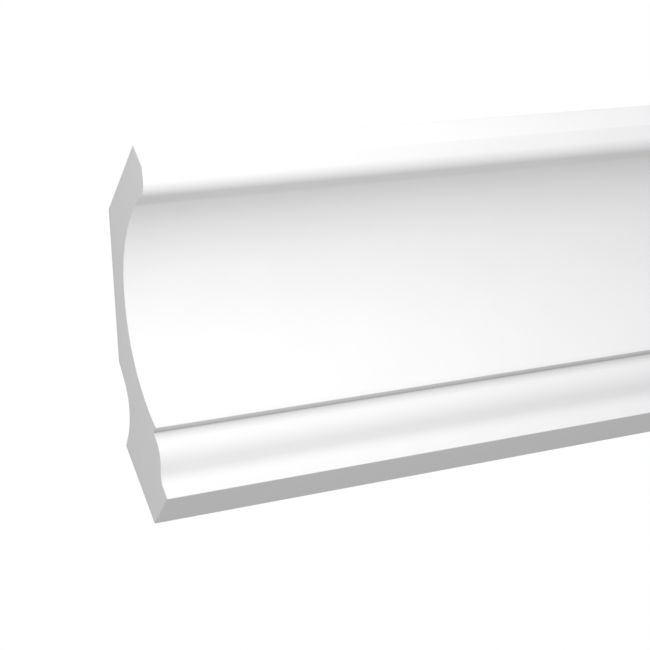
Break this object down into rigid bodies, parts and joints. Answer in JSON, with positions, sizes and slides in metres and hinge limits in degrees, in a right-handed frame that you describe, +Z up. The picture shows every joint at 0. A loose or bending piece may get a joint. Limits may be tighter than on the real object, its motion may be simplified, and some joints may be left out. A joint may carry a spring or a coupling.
{
  "type": "crown moulding length",
  "caption": "Straight length of plain crown moulding for the corner of wall and ceiling: lip, roll, deep cove, step and ogee, with a relieved back and square-cut ends.",
  "frame": {"origin": "centre of the flat face that lies against the wall", "axes": "+X along the wall, to the right seen from the room; +Y into the wall; +Z up to the ceiling"},
  "size_m": [1, 0.094, 0.1],
  "materials": {
    "white_primer": "smooth matt white primer over moulded polyurethane foam; the two square cuts show fine foam cells"
  },
  "bodies": {
    "root": {"crown_moulding": "white_primer"}
  },
  "joints": []
}
